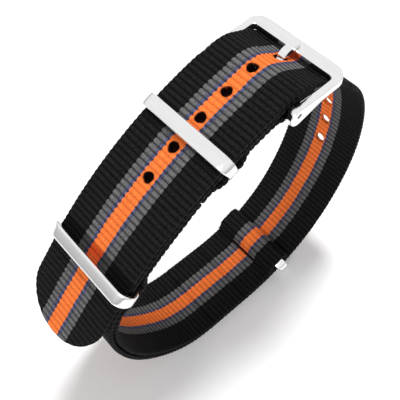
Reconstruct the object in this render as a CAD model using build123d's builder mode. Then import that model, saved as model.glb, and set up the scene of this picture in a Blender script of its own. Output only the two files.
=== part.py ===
from build123d import *
import math
import os

# Woven watch strap with a pin buckle and three metal keepers, fastened in a loop.
# X runs along the loop towards the buckle, Y across the webbing, Z up from the table.

# Webbing
webbing_width = 18.0
webbing_thickness = 1.0
layer_gap = 0.2
loop_length = 72.0
loop_height = 67.0
weld_length = 2.2
weld_bite = 0.03
weld_ramp = 2.4
bar_ramp = 5.0
tip_length = 8.2
tip_waste_height = 3.0

# Holes for the tongue
hole_radius = 1.1
hole_pitch = 6.2
hole_count = 13
tongue_hole_index = 7
tongue_hole_lead = 4.93
tongue_slot_stretch = 0.8

# Buckle frame and tongue
bar_reach = 10.6
bar_width = 2.55
frame_thickness = 1.6
arm_width = 1.4
arm_clearance = 0.2
corner_radius = 2.6
inner_corner_radius = 0.9
lug_radius = 1.7
lug_back = 0.15
lug_drop = 0.4
lug_taper = 5.2
frame_edge_radius = 0.3
buckle_tilt = 5.0
tongue_width = 1.5
tongue_thickness = 0.8
tongue_tip_share = 0.15
tongue_shares = [(0.189, 0.714), (0.396, 0.079), (0.509, -0.159), (0.613, 0.119), (0.698, 0.794), (0.783, 1.0)]
shank_steps = 16
eye_slot_reach = 2.2
eye_slot_clearance = 0.25
tongue_eye_wall = 0.6

# Spring bar
tube_radius = 0.9
tube_bore_radius = 0.6
tube_mouth_radius = 0.47
tube_mouth_length = 0.6
tube_end_gap = 0.15
pin_head_radius = 0.55
pin_head_length = 2.0
pin_tip_radius = 0.4
pin_hole_clearance = 0.06
pin_reach_in_lug = 0.95
spring_wire_radius = 0.09
spring_turns = 6
spring_wire_sides = 4
bar_clearance = 0.06
strap_bar_clearance = 0.1

# Keepers
keeper_depth = 2.75
keeper_wall = 1.2
keeper_side_clearance = 0.3
keeper_inner_height = 2.8
keeper_seat_gap = 0.25
keeper_outer_radius = 2.1
keeper_inner_radius = 0.45
keeper_edge_bevel = 0.22
buckle_keeper_at = 14.35
middle_keeper_share = 0.4121
end_keeper_reach = 18.0
pocket_ramp = 2.6
pocket_play = 0.6
end_fold_lead = 1.2
flap_length = 4.35
flap_weld = 0.5
flap_ramp = 1.8
overrun = 3.0
straight_share = 2e-6

# Loop of the webbing, as shares of its length and height, from the spring bar round to the outer bar
middle_shift_share = 0.011
flat_left_share = 5.6 / 72.0
flat_right_share = 5.0 / 72.0
start_share = (0.129, 0.9918)
left_shares = [
    (-0.0286, 0.9349),
    (-0.1750, 0.8497),
    (-0.3056, 0.7388),
    (-0.3819, 0.6521),
    (-0.4131, 0.6028),
    (-0.4272, 0.5455),
    (-0.4197, 0.4266),
    (-0.3676, 0.2572),
    (-0.2718, 0.1113),
    (-0.1850, 0.0351),
]
right_shares = [
    (0.1986, 0.0275),
    (0.2986, 0.0790),
    (0.3810, 0.1599),
    (0.4393, 0.2612),
    (0.4772, 0.3731),
    (0.4944, 0.5209),
    (0.4776, 0.6687),
    (0.4393, 0.7804),
    (0.3737, 0.8763),
]
start_heading = 193.6
tail_join_at = 4.0
tail_leave_share = 0.4291
tail_end_shares = [(-0.4531, 0.5927), (-0.5181, 0.5112)]
tail_end_heading = 229.5

# Webbing through the buckle, as shares of the reach of the outer bar, along the frame and above it
under_bar_share = 0.986
under_bar_gap = 1.06
crossing_shares = [(0.5025, 0.0845), (0.1992, 0.2438)]
tail_climb = 33.0

# Sizes that follow from the ones above
half_width = webbing_width / 2
half_thickness = webbing_thickness / 2
layer_pitch = webbing_thickness + layer_gap
keeper_half_inside = half_width + keeper_side_clearance
keeper_half_outside = keeper_half_inside + keeper_wall
pocket_offset = half_thickness + 2 * keeper_seat_gap + keeper_wall + half_thickness
bend_step = webbing_thickness


def loop_point(share):
    return ((share[0] + middle_shift_share) * loop_length, share[1] * loop_height)


def heading(degrees):
    return (math.cos(math.radians(degrees)), math.sin(math.radians(degrees)))


flat_left = ((middle_shift_share - flat_left_share) * loop_length, half_thickness)
flat_right = ((middle_shift_share + flat_right_share) * loop_length, half_thickness)

left_route = Spline(
    *[loop_point(share) for share in [start_share] + left_shares],
    flat_left,
    tangents=[heading(start_heading), heading(0)],
)
flat_route = Line(flat_left, flat_right)


def on_route(route, along, offset=0.0):
    """Point at a length along a route, moved outwards by offset."""
    where = route.position_at(along, position_mode=PositionMode.LENGTH)
    ahead = route.tangent_at(along, position_mode=PositionMode.LENGTH)
    return (where.X + ahead.Y * offset, where.Y - ahead.X * offset)


def heading_on(route, along):
    ahead = route.tangent_at(along, position_mode=PositionMode.LENGTH)
    return (ahead.X, ahead.Y)


# Spring bar and buckle places
fold_radius = tube_radius + strap_bar_clearance + half_thickness
bar_x, bar_z = on_route(left_route, 0.0, -fold_radius)
buckle_plane = Plane(
    origin=(bar_x, 0, bar_z),
    x_dir=(math.cos(math.radians(buckle_tilt)), 0, math.sin(math.radians(buckle_tilt))),
    z_dir=(-math.sin(math.radians(buckle_tilt)), 0, math.cos(math.radians(buckle_tilt))),
)
side_plane = Plane(origin=(bar_x, 0, bar_z), x_dir=buckle_plane.x_dir, z_dir=(0, -1, 0))


def by_the_buckle(along, above):
    """Point at a length along the buckle frame from the spring bar and a height above its middle."""
    ahead = heading(buckle_tilt)
    return (bar_x + ahead[0] * along - ahead[1] * above, bar_z + ahead[1] * along + ahead[0] * above)


under_bar_point = by_the_buckle(
    under_bar_share * bar_reach, -(frame_thickness / 2 + under_bar_gap + half_thickness)
)
end_heading = 180 + buckle_tilt - tail_climb
right_route = Spline(
    flat_right,
    *[loop_point(share) for share in right_shares],
    under_bar_point,
    tangents=[heading(0), heading(end_heading)],
)
crossing_route = Spline(
    under_bar_point,
    *[by_the_buckle(share[0] * bar_reach, share[1] * bar_reach) for share in crossing_shares],
    on_route(left_route, tail_join_at, layer_pitch),
    tangents=[heading(end_heading), heading_on(left_route, tail_join_at)],
)

# Places of the middle keeper and of the free tail along the left of the loop
middle_keeper_at = middle_keeper_share * left_route.length
tail_leave_at = tail_leave_share * left_route.length
tail_end_route = Spline(
    on_route(left_route, tail_leave_at, layer_pitch),
    *[loop_point(share) for share in tail_end_shares],
    tangents=[heading_on(left_route, tail_leave_at), heading(tail_end_heading)],
)


def arcs_through(places):
    """Arcs one after another through every second place, each passing through the place between."""
    for first, between, last in zip(places[0:-2:2], places[1:-1:2], places[2::2]):
        bulge = math.dist(first, between) + math.dist(between, last) - math.dist(first, last)
        if bulge < straight_share * math.dist(first, last):
            Line(first, last)
        else:
            ThreePointArc(first, between, last)


def band(route, start, end, offset=0.0, arc_length=4.0 * webbing_thickness):
    """Face of one webbing layer along a route, its middle moved outwards by offset.

    The offset is a length or a function of the length along the route.
    """
    arcs = max(2, math.ceil((end - start) / arc_length))
    places = [start + (end - start) * k / (2 * arcs) for k in range(2 * arcs + 1)]
    middle = offset if callable(offset) else (lambda along: offset)
    outside = [on_route(route, s, middle(s) + half_thickness) for s in places]
    inside = [on_route(route, s, middle(s) - half_thickness) for s in places]
    with BuildSketch(Plane.XZ) as layer:
        with BuildLine() as outline:
            arcs_through(outside)
            Line(outside[-1], inside[-1])
            arcs_through(inside)
            Line(inside[0], outside[0])
        make_face()
    return layer.sketch


def smooth_step(value):
    share = min(1.0, max(0.0, value))
    return share * share * (3 - 2 * share)


def pocket(centre, low, high):
    """Offset that swells from low to high round a keeper's bar and back again."""
    half = keeper_depth / 2 + pocket_play

    def offset(along):
        return low + (high - low) * smooth_step((half + pocket_ramp - abs(along - centre)) / pocket_ramp)

    return offset


# Places along the first turn of the webbing
fold_back_end = buckle_keeper_at + keeper_depth / 2 + pocket_play + pocket_ramp + weld_length
short_strap_start = fold_back_end + layer_gap


def length_at_reach(route, reach):
    """Length along the right of the loop at which it has gone out to reach."""
    low, high = 0.0, route.length / 2
    for _ in range(40):
        centre = (low + high) / 2
        if route.position_at(centre, position_mode=PositionMode.LENGTH).X < reach:
            low = centre
        else:
            high = centre
    return low


end_keeper_at = length_at_reach(right_route, end_keeper_reach)

# Lengths of the stretches of the main strap, from the spring bar to the tip
stretch_left = left_route.length
stretch_flat = stretch_left + flat_route.length
stretch_right = stretch_flat + right_route.length
stretch_crossing = stretch_right + crossing_route.length
stretch_over = stretch_crossing + tail_leave_at - tail_join_at

# The first hole, placed so that the hole in use comes over the tongue
first_hole_at = stretch_right + tongue_hole_lead - tongue_hole_index * hole_pitch


def strap_place(along):
    """Point and heading of the main strap's middle at a length from the spring bar."""
    if along < stretch_left:
        return on_route(left_route, along), heading_on(left_route, along)
    if along < stretch_flat:
        return on_route(flat_route, along - stretch_left), heading_on(flat_route, along - stretch_left)
    if along < stretch_right:
        return on_route(right_route, along - stretch_flat), heading_on(right_route, along - stretch_flat)
    if along < stretch_crossing:
        return on_route(crossing_route, along - stretch_right), heading_on(crossing_route, along - stretch_right)
    if along < stretch_over:
        back = along - stretch_crossing + tail_join_at
        return on_route(left_route, back, layer_pitch), heading_on(left_route, back)
    rest = along - stretch_over
    return on_route(tail_end_route, rest), heading_on(tail_end_route, rest)


def across_plane(point, direction):
    """Plane square to the webbing's face, its x along the strap and its y across."""
    return Plane(
        origin=(point[0], 0, point[1]),
        x_dir=(direction[0], 0, direction[1]),
        z_dir=(direction[1], 0, -direction[0]),
    )


# Webbing round the spring bar and round the last keeper, each a half turn
def half_turn(centre, radius, first_angle):
    with BuildSketch(Plane.XZ) as layer:
        with BuildLine():
            wide = CenterArc(centre, radius + half_thickness, first_angle, 180)
            tight = CenterArc(centre, radius - half_thickness, first_angle, 180)
            Line(wide @ 0, tight @ 0)
            Line(wide @ 1, tight @ 1)
        make_face()
    return layer.sketch


def level_band(low):
    """Face of one webbing layer along the flat bottom of the loop."""
    with BuildSketch(Plane.XZ) as layer:
        with Locations(((flat_left[0] + flat_right[0]) / 2, low + half_thickness)):
            Rectangle(flat_right[0] - flat_left[0], webbing_thickness)
    return layer.sketch


# The long strap's end turns back under the spring bar and is welded on both sides of the first keeper
welded = webbing_thickness - weld_bite


def fold_back_offset(along):
    if along < bar_ramp:
        return -2 * fold_radius + (2 * fold_radius - welded) * smooth_step(along / bar_ramp)
    return -pocket(buckle_keeper_at, welded, pocket_offset)(along)


main_layers = [
    band(left_route, 0.0, left_route.length),
    level_band(0.0),
    band(right_route, 0.0, right_route.length),
    band(crossing_route, 0.0, crossing_route.length),
    band(left_route, tail_join_at, tail_leave_at, layer_pitch),
    band(tail_end_route, 0.0, tail_end_route.length),
    band(left_route, 0.0, fold_back_end, fold_back_offset, bend_step),
    half_turn((bar_x, bar_z), fold_radius, start_heading - 270),
]

with BuildPart() as main_strap:
    for layer in main_layers:
        extrude(layer, amount=half_width, both=True)
    # Slot in the fold for the tongue's eye
    with BuildSketch(Plane.YZ.offset(bar_x - eye_slot_reach)) as eye_slot:
        with Locations((0, bar_z)):
            Rectangle(tongue_width + 2 * eye_slot_clearance, 2 * fold_radius + 2 * webbing_thickness)
    extrude(amount=eye_slot_reach + fold_radius + webbing_thickness, mode=Mode.SUBTRACT)
    # Holes across the tail and on towards the far side of the loop
    for index in range(hole_count):
        point, direction = strap_place(first_hole_at + index * hole_pitch)
        with BuildSketch(across_plane(point, direction)):
            if index == tongue_hole_index:
                SlotCenterToCenter(tongue_slot_stretch, 2 * hole_radius)
            else:
                Circle(hole_radius)
        extrude(amount=half_thickness + layer_gap / 2, both=True, mode=Mode.SUBTRACT)
    # Rounded tip
    tip_point, tip_heading = strap_place(stretch_over + tail_end_route.length)
    with BuildSketch(across_plane(tip_point, tip_heading)) as tip_waste:
        with Locations((-tip_length / 2, 0)):
            Rectangle(tip_length + 2 * overrun, webbing_width + 2 * overrun)
        with Locations((-tip_length, 0)):
            Ellipse(tip_length, half_width, mode=Mode.SUBTRACT)
        with Locations((-tip_length - overrun, 0)):
            Rectangle(2 * overrun, webbing_width, mode=Mode.SUBTRACT)
    extrude(amount=tip_waste_height, both=True, mode=Mode.SUBTRACT)
main_strap.part.label = "main_strap"


# The short strap starts at that weld, holds the second keeper and folds round the last one
def short_strap_offset(along):
    if along < short_strap_start + weld_length + weld_ramp:
        apart = smooth_step((along - short_strap_start - weld_length) / weld_ramp)
        return -welded - (layer_pitch - welded) * apart
    return -pocket(middle_keeper_at, layer_pitch, pocket_offset)(along)


end_bar_offset = layer_pitch + half_thickness + keeper_seat_gap + keeper_wall / 2
end_fold_radius = keeper_wall / 2 + keeper_seat_gap + half_thickness
end_fold_at = end_keeper_at + end_fold_lead
end_fold_centre = on_route(right_route, end_fold_at, -end_bar_offset)
end_fold_heading = heading_on(right_route, end_fold_at)
end_fold_angle = math.degrees(math.atan2(end_fold_heading[1], end_fold_heading[0]))
flap_end = end_keeper_at - flap_length
pocket_end = middle_keeper_at + keeper_depth / 2 + pocket_play + pocket_ramp


def flap_offset(along):
    beyond = smooth_step((along - flap_end - flap_weld) / flap_ramp)
    closed = layer_pitch + welded
    return -closed - (end_bar_offset + end_fold_radius - closed) * beyond


short_layers = [
    band(left_route, short_strap_start, pocket_end, short_strap_offset, bend_step),
    band(left_route, pocket_end, left_route.length, -layer_pitch),
    level_band(layer_pitch),
    band(right_route, 0.0, end_fold_at, -layer_pitch),
    half_turn(end_fold_centre, end_fold_radius, end_fold_angle - 90),
    band(right_route, flap_end, end_fold_at, flap_offset, bend_step),
]

with BuildPart() as short_strap:
    for layer in short_layers:
        extrude(layer, amount=half_width, both=True)
short_strap.part.label = "short_strap"


# Keepers: flat bars bent into closed loops with round ends, the strap running through them
def keeper(route, along, inner_bar_offset):
    middle = inner_bar_offset + (keeper_wall + keeper_inner_height) / 2
    point = on_route(route, along, middle)
    direction = heading_on(route, along)
    section = Plane(origin=(point[0], 0, point[1]), x_dir=(0, 1, 0), z_dir=(direction[0], 0, direction[1]))
    tall = keeper_inner_height + 2 * keeper_wall
    plan = Plane(origin=section.origin, x_dir=(0, 1, 0), z_dir=section.y_dir)
    with BuildPart() as loop:
        with BuildSketch(section):
            RectangleRounded(2 * (keeper_half_outside + keeper_edge_bevel), tall, keeper_outer_radius)
        extrude(amount=keeper_depth / 2, both=True)
        with BuildSketch(plan):
            SlotOverall(2 * keeper_half_outside, keeper_depth)
        extrude(amount=tall, both=True, mode=Mode.INTERSECT)
        chamfer(loop.edges(), keeper_edge_bevel)
        with BuildSketch(section):
            RectangleRounded(2 * keeper_half_inside, keeper_inner_height, keeper_inner_radius)
        extrude(amount=keeper_depth, both=True, mode=Mode.SUBTRACT)
    return loop.part


seat_offset = half_thickness + keeper_seat_gap + keeper_wall / 2
upper_keeper = keeper(left_route, buckle_keeper_at, -seat_offset)
upper_keeper.label = "upper_keeper"
lower_keeper = keeper(left_route, middle_keeper_at, -seat_offset)
lower_keeper.label = "lower_keeper"
end_keeper = keeper(right_route, end_keeper_at, -end_bar_offset)
end_keeper.label = "end_keeper"

# Buckle frame: arms that swell to round lugs at the spring bar, and a flat outer bar
frame_half_inside = half_width + arm_clearance
frame_half_outside = frame_half_inside + arm_width
frame_end = bar_reach + bar_width / 2
bar_inner = bar_reach - bar_width / 2

with BuildPart() as buckle_frame:
    with BuildSketch(side_plane):
        with Locations((-lug_back, -lug_drop)):
            Circle(lug_radius)
        with Locations((lug_taper, 0)):
            Circle(frame_thickness / 2)
        make_hull()
        with Locations((frame_end / 2, 0)):
            Rectangle(frame_end, frame_thickness)
    extrude(amount=frame_half_outside, both=True)
    with BuildSketch(buckle_plane) as outline:
        with Locations(((frame_end - lug_radius - lug_back) / 2, 0)):
            Rectangle(frame_end + lug_radius + lug_back, 2 * frame_half_outside)
        fillet(outline.vertices().group_by(Axis.X)[-1], corner_radius)
    extrude(amount=2 * lug_radius, both=True, mode=Mode.INTERSECT)
    fillet(buckle_frame.edges(), frame_edge_radius)
    with BuildSketch(buckle_plane):
        with Locations((bar_inner / 2 - lug_radius, 0)):
            RectangleRounded(bar_inner + 2 * lug_radius, 2 * frame_half_inside, inner_corner_radius)
    extrude(amount=2 * lug_radius, both=True, mode=Mode.SUBTRACT)
    chamfer(buckle_frame.edges(Select.LAST), frame_edge_radius / 2)
    with BuildSketch(side_plane):
        Circle(pin_tip_radius + pin_hole_clearance)
    extrude(amount=frame_half_outside, both=True, mode=Mode.SUBTRACT)
buckle_frame.part.label = "buckle_frame"

# Tongue: an eye on the spring bar, a shank up through the slotted hole, a tip on the outer bar
eye_radius = tube_radius + bar_clearance + tongue_eye_wall
eye_top = eye_radius - tongue_thickness / 2
rest_height = frame_thickness / 2 + tongue_thickness / 2 + bar_clearance
tip_reach = bar_reach + tongue_tip_share * bar_width
shank = [
    (0.0, eye_top),
    *[(share[0] * bar_reach, share[1] * rest_height) for share in tongue_shares],
    (tip_reach, rest_height),
]

shank_route = Spline(*shank, tangents=[(1, 0), (1, 0)])
shank_places = [shank_route.length * k / shank_steps for k in range(shank_steps + 1)]
shank_top = [on_route(shank_route, s, -tongue_thickness / 2) for s in shank_places]
shank_bottom = [on_route(shank_route, s, tongue_thickness / 2) for s in shank_places]

with BuildPart() as buckle_tongue:
    with BuildSketch(side_plane):
        with BuildLine():
            arcs_through(shank_top)
            Line(shank_top[-1], shank_bottom[-1])
            arcs_through(shank_bottom[::-1])
            Line(shank_bottom[0], shank_top[0])
        make_face()
        Circle(eye_radius)
        Circle(tube_radius + bar_clearance, mode=Mode.SUBTRACT)
    extrude(amount=tongue_width / 2, both=True)
    with BuildSketch(buckle_plane):
        with Locations(((tip_reach - eye_radius - tongue_width / 2) / 2, 0)):
            Rectangle(tip_reach + eye_radius - tongue_width / 2, tongue_width)
        with Locations((tip_reach - tongue_width / 2, 0)):
            Circle(tongue_width / 2)
    extrude(amount=2 * lug_radius, both=True, mode=Mode.INTERSECT)
buckle_tongue.part.label = "buckle_tongue"

# Spring bar: a tube with turned-in mouths, two plungers and the spring between them
tube_half = frame_half_inside - tube_end_gap
head_outer_end = tube_half - tube_mouth_length - bar_clearance / 3
head_inner_end = head_outer_end - pin_head_length

with BuildPart() as spring_bar_tube:
    with BuildSketch(side_plane):
        Circle(tube_radius)
        Circle(tube_mouth_radius, mode=Mode.SUBTRACT)
    extrude(amount=tube_half, both=True)
    with BuildSketch(side_plane):
        Circle(tube_bore_radius)
    extrude(amount=tube_half - tube_mouth_length, both=True, mode=Mode.SUBTRACT)
    outer_rims = spring_bar_tube.edges().filter_by(GeomType.CIRCLE).group_by(SortBy.RADIUS)[-1]
    chamfer(outer_rims, tube_end_gap)
spring_bar_tube.part.label = "spring_bar_tube"


def plunger(side):
    with BuildPart() as pin:
        with BuildSketch(Plane(origin=(bar_x, side * head_inner_end, bar_z), x_dir=(1, 0, 0), z_dir=(0, side, 0))):
            Circle(pin_head_radius)
        extrude(amount=pin_head_length)
        with BuildSketch(Plane(origin=(bar_x, side * head_outer_end, bar_z), x_dir=(1, 0, 0), z_dir=(0, side, 0))):
            Circle(pin_tip_radius)
        extrude(amount=frame_half_inside + pin_reach_in_lug - head_outer_end)
        chamfer(pin.faces().sort_by(Axis((0, 0, 0), (0, side, 0)))[-1].edges(), pin_tip_radius / 3)
    return pin.part


spring_bar_plunger_near = plunger(-1)
spring_bar_plunger_near.label = "spring_bar_plunger_near"
spring_bar_plunger_far = plunger(1)
spring_bar_plunger_far.label = "spring_bar_plunger_far"

coil_half = head_inner_end - spring_wire_radius - bar_clearance / 3
coil_radius = tube_bore_radius - spring_wire_radius - bar_clearance / 2
half_turns = 2 * spring_turns


def coil_point(quarter):
    """Point of the spring's middle line after so many quarter turns."""
    angle = math.radians(90 * quarter)
    height = -coil_half + coil_half * quarter / half_turns
    return (bar_x + coil_radius * math.cos(angle), height, bar_z + coil_radius * math.sin(angle))


with BuildPart() as spring_bar_spring:
    with BuildLine() as coil:
        for turn in range(half_turns):
            ThreePointArc(coil_point(2 * turn), coil_point(2 * turn + 1), coil_point(2 * turn + 2))
    with BuildSketch(Plane(origin=coil.line @ 0, z_dir=coil.line % 0)):
        RegularPolygon(spring_wire_radius, spring_wire_sides)
    sweep()
spring_bar_spring.part.label = "spring_bar_spring"

subparts = [
    main_strap.part,
    short_strap.part,
    buckle_frame.part,
    buckle_tongue.part,
    spring_bar_tube.part,
    spring_bar_plunger_near,
    spring_bar_plunger_far,
    spring_bar_spring.part,
    upper_keeper,
    lower_keeper,
    end_keeper,
]

if __name__ == "__main__":
    os.makedirs("parts", exist_ok=True)
    for subpart in subparts:
        export_step(subpart, "parts/" + subpart.label + ".step")
        box = subpart.bounding_box()
        print(subpart.label, len(subpart.solids()), round(subpart.volume, 2), box.min, box.max)
    print("strap length from the spring bar", stretch_over + tail_end_route.length)
    print("stretches", stretch_left, stretch_flat, stretch_right, stretch_crossing, stretch_over)
    print("spring bar at", bar_x, bar_z, "end keeper at", end_keeper_at)
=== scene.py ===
"""Striped woven watch strap with a pin buckle and three keepers, dressed for rendering."""

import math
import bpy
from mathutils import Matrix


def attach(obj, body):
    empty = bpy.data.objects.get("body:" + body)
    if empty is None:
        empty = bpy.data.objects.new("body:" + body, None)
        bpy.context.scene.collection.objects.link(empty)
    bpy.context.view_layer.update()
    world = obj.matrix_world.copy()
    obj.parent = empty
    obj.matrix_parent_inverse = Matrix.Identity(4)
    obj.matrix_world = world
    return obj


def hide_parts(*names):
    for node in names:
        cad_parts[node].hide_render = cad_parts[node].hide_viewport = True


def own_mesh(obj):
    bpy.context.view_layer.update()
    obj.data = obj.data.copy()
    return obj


bl_info = {
    "name": "Woven Watch Strap",
    "version": (1, 0, 0),
    "blender": (4, 5, 0),
    "location": "View3D > Sidebar > Watch Strap",
    "description": "Dresses the watch strap: striped webbing, polished buckle and keepers, stage",
    "category": "Object",
}

import bpy
import numpy as np
from bpy.props import FloatProperty, FloatVectorProperty, IntProperty, PointerProperty
from bpy.types import Operator, Panel, PropertyGroup
from mathutils import Matrix, Vector

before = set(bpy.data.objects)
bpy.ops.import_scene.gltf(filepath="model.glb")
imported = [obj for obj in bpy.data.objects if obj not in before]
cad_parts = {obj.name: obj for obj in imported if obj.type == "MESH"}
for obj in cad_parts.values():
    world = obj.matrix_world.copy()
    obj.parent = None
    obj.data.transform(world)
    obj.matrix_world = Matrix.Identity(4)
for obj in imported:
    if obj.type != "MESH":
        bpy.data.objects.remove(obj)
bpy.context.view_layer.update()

MM = 0.001
NO_LENGTH = 1e-9

# The loop of the webbing, as shares of its length and height, from the spring bar round to the outer bar
LOOP_LENGTH = 72.0 * MM
LOOP_HEIGHT = 67.0 * MM
MIDDLE_SHIFT = 0.011
FLAT_LEFT = MIDDLE_SHIFT - 5.6 / 72.0
FLAT_RIGHT = MIDDLE_SHIFT + 5.0 / 72.0
START = (0.129, 0.9918)
LEFT_SIDE = [
    (-0.0286, 0.9349),
    (-0.1750, 0.8497),
    (-0.3056, 0.7388),
    (-0.3819, 0.6521),
    (-0.4131, 0.6028),
    (-0.4272, 0.5455),
    (-0.4197, 0.4266),
    (-0.3676, 0.2572),
    (-0.2718, 0.1113),
    (-0.1850, 0.0351),
]
RIGHT_SIDE = [
    (0.1986, 0.0275),
    (0.2986, 0.0790),
    (0.3810, 0.1599),
    (0.4393, 0.2612),
    (0.4772, 0.3731),
    (0.4944, 0.5209),
    (0.4776, 0.6687),
    (0.4393, 0.7804),
    (0.3737, 0.8763),
]
TAIL_END = [(-0.4531, 0.5927), (-0.5181, 0.5112)]

# Headings of the webbing in degrees: as it leaves the spring bar, climbs through the frame and ends
BAR_HEADING = 193.6
CLIMB_HEADING = 147
TIP_HEADING = 229.5

# The buckle and the webbing through it, as shares of the reach of the outer bar
BAR_REACH = 10.6 * MM
BUCKLE_TILT = 5.0
UNDER_BAR = 0.986
UNDER_BAR_DEPTH = 2.36 * MM
CROSSING = [(0.5025, 0.0845), (0.1992, 0.2438)]

# Spring bar, and the slot for the tongue's eye in the fold round it
TUBE_RADIUS = 0.9 * MM
TUBE_GAP = 0.1 * MM
EYE_MARGIN = 1.55 * MM
EYE_HALF_WIDTH = 0.95 * MM

# Layers: lengths along the left side where the fold closes and ends, and where the tail joins and leaves it
LAYER_GAP = 0.2 * MM
WELD_BITE = 0.03 * MM
FOLD_CLOSES = 5 * MM
FOLD_SPARE = 2.2 * MM
TAIL_JOINS = 4.0 * MM
TAIL_LEAVES = 0.4291

# Keepers and the pockets round them: two along the left side, the last on the right by its x
KEEPER_STRIP = 1.2 * MM
KEEPER_SEAT = 0.25 * MM
KEEPER_MIDDLE = 1.4 * MM
POCKET_HALF = 1.375 * MM + 0.6 * MM
POCKET_RAMP = 2.6 * MM
FIRST_KEEPER_AT = 14.35 * MM
SECOND_KEEPER_AT = 0.4121
LAST_KEEPER_X = 18.0 * MM
LAST_KEEPER_LONGER = 0.3 * MM

# Short strap: its weld to the fold, the ramp away from it, and its last fold with the welded flap
SHORT_WELD = 2.2 * MM
SHORT_RAMP = 2.4 * MM
LAST_TURN = 1.2 * MM
FLAP_REACH = 4.35 * MM
FLAP_WELD = 0.5 * MM
FLAP_RAMP = 1.8 * MM
# Painted shade: a dark band across the end of the short strap's flap stands in for the shade in the step
# there
END_SHADE_LENGTH = 0.5 * MM
END_SHADE_FADE = 0.1 * MM
END_SHADE_HALF_WIDTH = 4.2 * MM

# Holes, counted from the right side to the tip; the first two past the tongue's sit nearer the tip
HOLE_COUNT = 13
TONGUE_HOLE = 7
TONGUE_HOLE_AT = 4.93 * MM
TONGUE_SLOT = 1.1 * MM
HOLE_PITCH = 6.2 * MM
HOLE_PULLS = {8: 0.8 * MM, 9: 0.35 * MM}
HOLE_CUT = 0.9
HOLE_RIM = 1.12

# Hole rims darkened, partly melted and partly painted shade, painted shade spots beneath the tail's holes,
# and painted shadow bands as an offset and a reach
BURN_SHADE_RING = 0.26 * MM
BURN_SHADE_RAGGED = 0.06 * MM
BURN_SHADE_LOBES = 3
BURN_SHADE_TURN = 1.7
OPEN_BURN_SHADE = 0.3
SHADE_SPOT_RADIUS = 1.9 * MM
SHADE_SPOT_FADE = 0.4 * MM
BAR_SHADOW = (0.6 * MM, 2.3 * MM)
KEEPER_SHADOW = (-1.6 * MM, 1.5 * MM)
SHADOW_FADE = 0.9 * MM

# Section of the webbing: woven edges, rims of the holes and the rounded tip
TAIL_PITCH_RAMP = 8 * MM
TIP_LENGTH = 8.2 * MM
TIP_BLUNT = 0.0004
EDGE_ROUND = 0.3 * MM
EDGE_THICKNESS = 0.45
RIM_THICKNESS = 0.8
SCALLOP = 0.012
SCALLOP_BAND = 0.5 * MM

# Mesh columns of half of the webbing: round the holes, across the plain part, and in from the edge
HOLE_COLUMNS = np.array([0, 0.17, 0.34, 0.51, 0.69, 0.86, 1.05, 1.3]) * MM
PLAIN_FROM = 1.9 * MM
PLAIN_MARGIN = 0.8 * MM
PLAIN_COLUMNS = 8
EDGE_COLUMNS = np.array([0.28, 0.06]) * MM

# Webbing between the buckle's arms, by its x and z; its edges lift where it climbs through the frame
STIFF_MIDDLE = 5 * MM
ARMS_BEFORE_BAR = 4.5 * MM
ARMS_END_X = 28 * MM
ARMS_LOW_Z = 56 * MM
ARMS_FADE = (2 * MM, 3 * MM, 3 * MM)
CLIMB_X = 17.5 * MM
CLIMB_SPREAD = 2.4 * MM
CLIMB_LOW_Z = 62 * MM
CLIMB_LIFT = 0.6 * MM

# Half widths of the middle stripe, with the thin ones, and with the grey ones, on 18 mm webbing
STRIPE_BORDERS = [share * 18 * MM for share in (0.078, 0.118, 0.205)]
STRIPE_WANDER = 0.16 * MM
YARN_WIDTH = 0.24 * MM
YARN_BUMP = 0.1 * MM

# Painted shade: steel inside the fold round the spring bar is painted darker, up to this far from its axis
# and between the arms
FOLD_SHADE_REACH = 3.1 * MM
FOLD_SHADE_FADE = 0.4 * MM
FOLD_SHADE_HALF_WIDTH = 8.9 * MM

# Camera, and the lamps as name, place, size, power and whether steel mirrors them
CAMERA_PLACE = (-0.042858, -0.04682, 0.13365)
CAMERA_RIGHT = (0.7477, -0.6640, 0.0)
CAMERA_AHEAD = (0.3722, 0.4191, -0.8282)
SENSOR_WIDTH = 36
CLIP_START = 5 * MM
LAMP_AIM = (0, 0, 0.03)
LAMPS = (
    ("Key", (0.13, 0.1, 0.65), 0.15, 3.4, False),
    ("Fill", (-0.4, -0.3, 0.4), 0.4, 1.5, True),
)
CEILING_RISE = 1.3
WALL_STRENGTH = 0.52
FLOOR_SIZE = 4


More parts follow.
